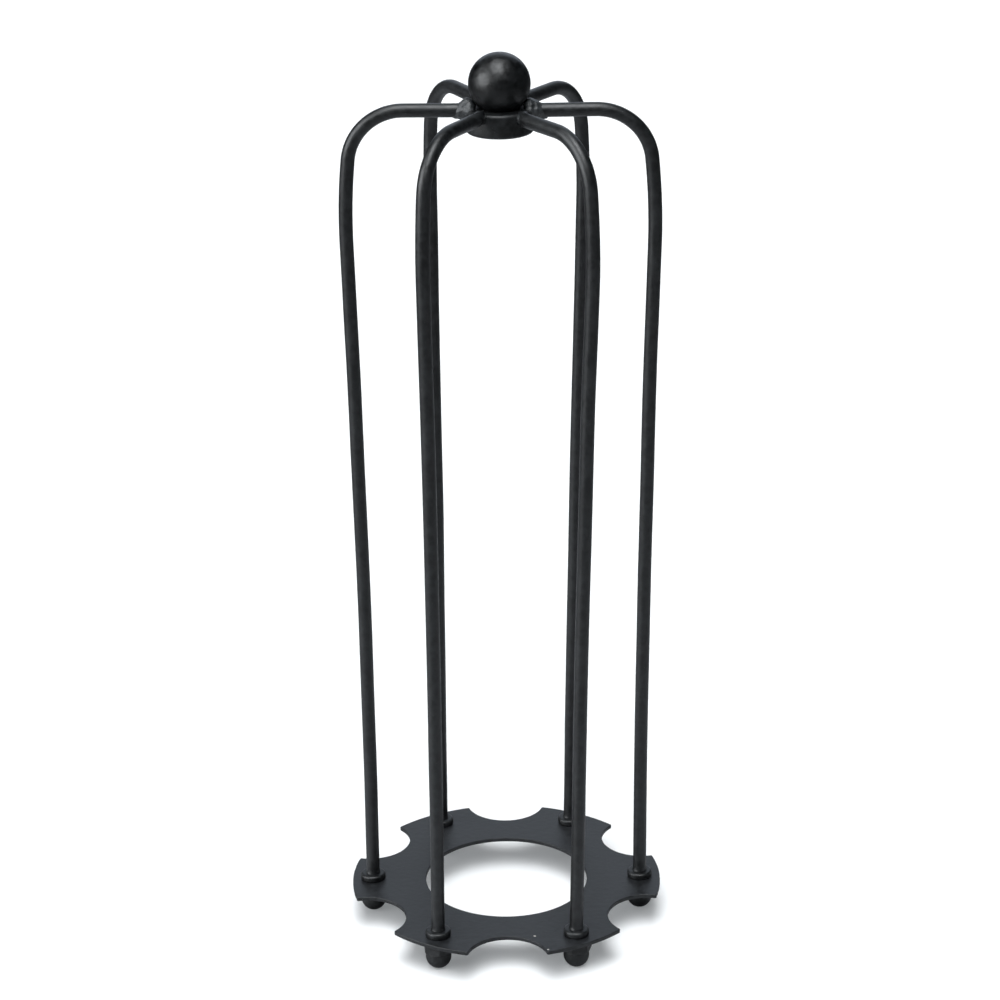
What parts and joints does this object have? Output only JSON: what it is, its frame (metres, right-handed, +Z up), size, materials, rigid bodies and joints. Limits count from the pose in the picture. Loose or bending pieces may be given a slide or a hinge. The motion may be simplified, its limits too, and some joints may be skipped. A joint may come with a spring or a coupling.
{
  "type": "bulb guard",
  "caption": "Wire bulb guard: a scalloped ring plate with a lampholder hole, bent wires welded to a top hub with a ball finial, and domed cap nut feet.",
  "frame": {"origin": "on the centre line, on the surface that the cap nuts stand on", "axes": "+Z up the centre line to the ball; +X to wire 1; the picture looks along +Y, slightly down"},
  "size_m": [0.0802, 0.0778, 0.2277],
  "materials": {
    "plate_paint": "satin black powder coat",
    "wire_paint": "satin black powder coat",
    "fitting_paint": "satin black powder coat",
    "weld_paint": "satin black powder coat over lumpy weld",
    "ball_paint": "satin black powder coat",
    "bare_thread": "dull dark steel"
  },
  "bodies": {
    "ring": {"base_plate": "plate_paint"},
    "cage": {"cage_wire_1": "wire_paint", "cage_wire_2": "wire_paint", "cage_wire_3": "wire_paint", "cage_wire_4": "wire_paint", "cage_wire_5": "wire_paint", "cage_wire_6": "wire_paint", "collar_1": "fitting_paint", "collar_2": "fitting_paint", "collar_3": "fitting_paint", "collar_4": "fitting_paint", "collar_5": "fitting_paint", "collar_6": "fitting_paint", "weld_bead_1": "weld_paint", "weld_bead_2": "weld_paint", "weld_bead_3": "weld_paint", "weld_bead_4": "weld_paint", "weld_bead_5": "weld_paint", "weld_bead_6": "weld_paint", "hub": "fitting_paint", "finial_stud": "bare_thread", "finial_ball": "ball_paint"},
    "nut_1": {"cap_nut_1": "fitting_paint"},
    "nut_2": {"cap_nut_2": "fitting_paint"},
    "nut_3": {"cap_nut_3": "fitting_paint"},
    "nut_4": {"cap_nut_4": "fitting_paint"},
    "nut_5": {"cap_nut_5": "fitting_paint"},
    "nut_6": {"cap_nut_6": "fitting_paint"}
  },
  "joints": [
    {"name": "cage_lift", "type": "slide", "parent": "ring", "child": "cage", "axis": [0, 0, 1], "range_m": [0, 0.0049]},
    {"name": "nut_1_turn", "type": "hinge", "parent": "ring", "child": "nut_1", "pos_m": [0.0348, 0, 0.008], "axis": [0, 0, -1], "range_deg": [0, 2520]},
    {"name": "nut_2_turn", "type": "hinge", "parent": "ring", "child": "nut_2", "pos_m": [0.0174, 0.03014, 0.008], "axis": [0, 0, -1], "range_deg": [0, 2520]},
    {"name": "nut_3_turn", "type": "hinge", "parent": "ring", "child": "nut_3", "pos_m": [-0.0174, 0.03014, 0.008], "axis": [0, 0, -1], "range_deg": [0, 2520]},
    {"name": "nut_4_turn", "type": "hinge", "parent": "ring", "child": "nut_4", "pos_m": [-0.0348, 0, 0.008], "axis": [0, 0, -1], "range_deg": [0, 2520]},
    {"name": "nut_5_turn", "type": "hinge", "parent": "ring", "child": "nut_5", "pos_m": [-0.0174, -0.03014, 0.008], "axis": [0, 0, -1], "range_deg": [0, 2520]},
    {"name": "nut_6_turn", "type": "hinge", "parent": "ring", "child": "nut_6", "pos_m": [0.0174, -0.03014, 0.008], "axis": [0, 0, -1], "range_deg": [0, 2520]}
  ],
  "couplings": [
    {"joint": "nut_1_turn", "follows": "cage_lift", "rad_per_m": 8976},
    {"joint": "nut_2_turn", "follows": "cage_lift", "rad_per_m": 8976},
    {"joint": "nut_3_turn", "follows": "cage_lift", "rad_per_m": 8976},
    {"joint": "nut_4_turn", "follows": "cage_lift", "rad_per_m": 8976},
    {"joint": "nut_5_turn", "follows": "cage_lift", "rad_per_m": 8976},
    {"joint": "nut_6_turn", "follows": "cage_lift", "rad_per_m": 8976}
  ]
}
